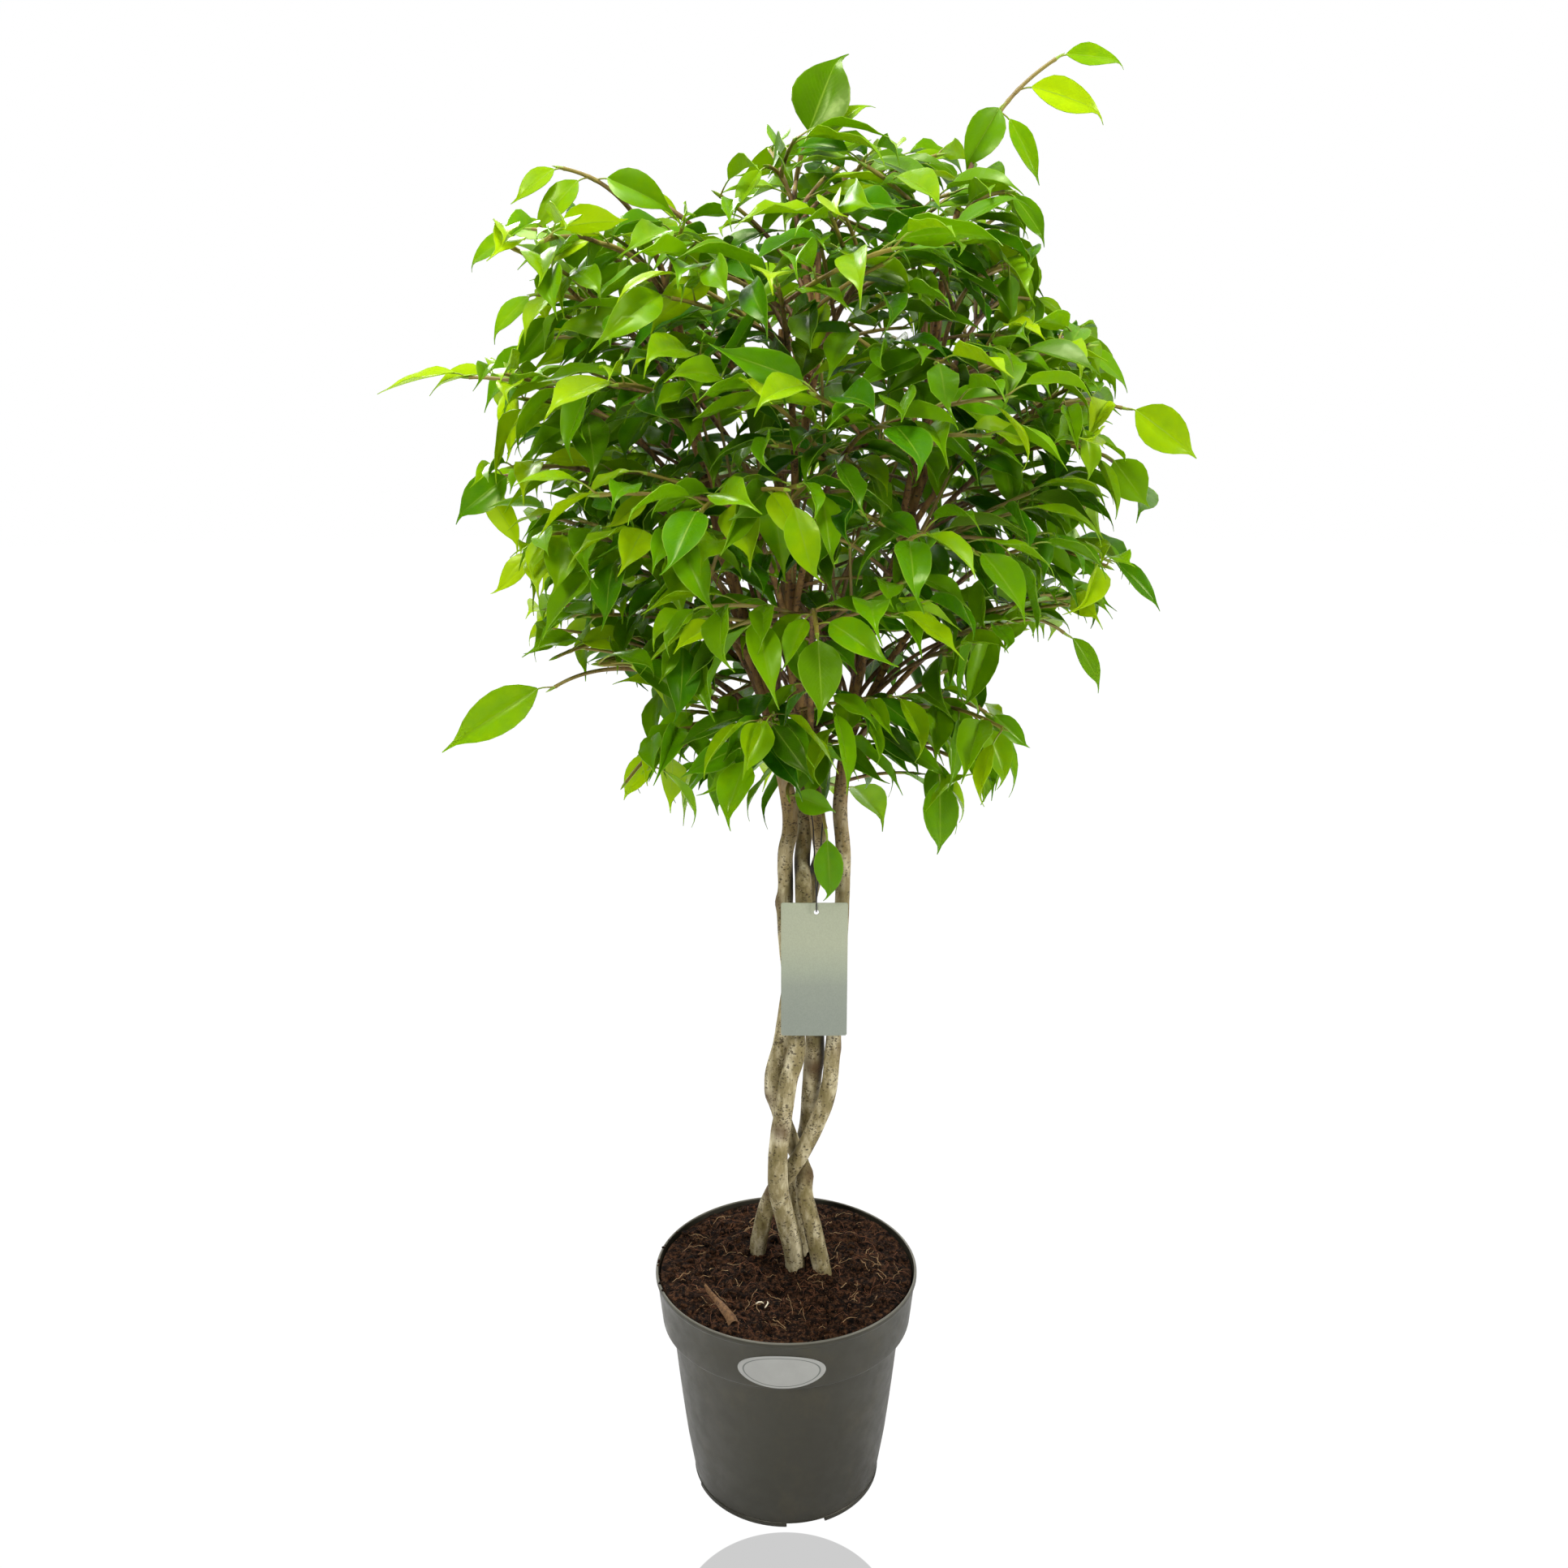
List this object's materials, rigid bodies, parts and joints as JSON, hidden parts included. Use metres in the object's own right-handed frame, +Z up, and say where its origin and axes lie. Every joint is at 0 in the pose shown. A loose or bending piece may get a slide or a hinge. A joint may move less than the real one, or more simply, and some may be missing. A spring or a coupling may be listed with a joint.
{
  "type": "potted weeping fig",
  "caption": "Weeping fig with a braided bare trunk and a rounded crown of drooping pointed leaves, standing in its round nursery pot with a hang tag.",
  "frame": {"origin": "middle of the pot's underside, on the central pad that rests on the floor", "axes": "+Z up along the pot's axis, the plant's front with the tag and the pot's label faces -Y, +X to the right seen from the front"},
  "size_m": [0.5588, 0.4751, 1.0887],
  "materials": {
    "pot_plastic": "matte dark grey",
    "peat": "rough dark brown",
    "bark": "matte pale bark",
    "foliage": "glossy green",
    "card": "matte grey-green",
    "string": "matte black",
    "label_paper": "satin light grey"
  },
  "bodies": {
    "root": {"pot": "pot_plastic", "soil": "peat", "pot_label": "label_paper", "tag_card": "card", "tag_cord": "string", "stem_a": "bark", "stem_b": "bark", "stem_c": "bark", "stem_d": "bark", "spray_01": "foliage", "spray_02": "foliage", "spray_03": "foliage", "spray_04": "foliage", "spray_05": "foliage", "spray_06": "foliage", "spray_07": "foliage", "spray_08": "foliage", "spray_09": "foliage", "spray_10": "foliage", "spray_11": "foliage", "spray_12": "foliage", "spray_13": "foliage", "spray_14": "foliage", "spray_15": "foliage", "spray_16": "foliage", "spray_17": "foliage", "spray_18": "foliage", "spray_19": "foliage", "spray_20": "foliage", "spray_21": "foliage", "spray_22": "foliage", "spray_23": "foliage", "spray_24": "foliage", "spray_25": "foliage", "spray_26": "foliage", "spray_27": "foliage", "spray_28": "foliage", "spray_29": "foliage", "spray_30": "foliage", "spray_31": "foliage", "spray_32": "foliage", "spray_33": "foliage", "spray_34": "foliage", "spray_35": "foliage", "spray_36": "foliage", "spray_37": "foliage", "spray_38": "foliage", "spray_39": "foliage", "spray_40": "foliage", "spray_41": "foliage", "spray_42": "foliage", "spray_43": "foliage", "spray_44": "foliage", "spray_45": "foliage", "spray_46": "foliage", "spray_47": "foliage", "spray_48": "foliage"}
  },
  "joints": []
}
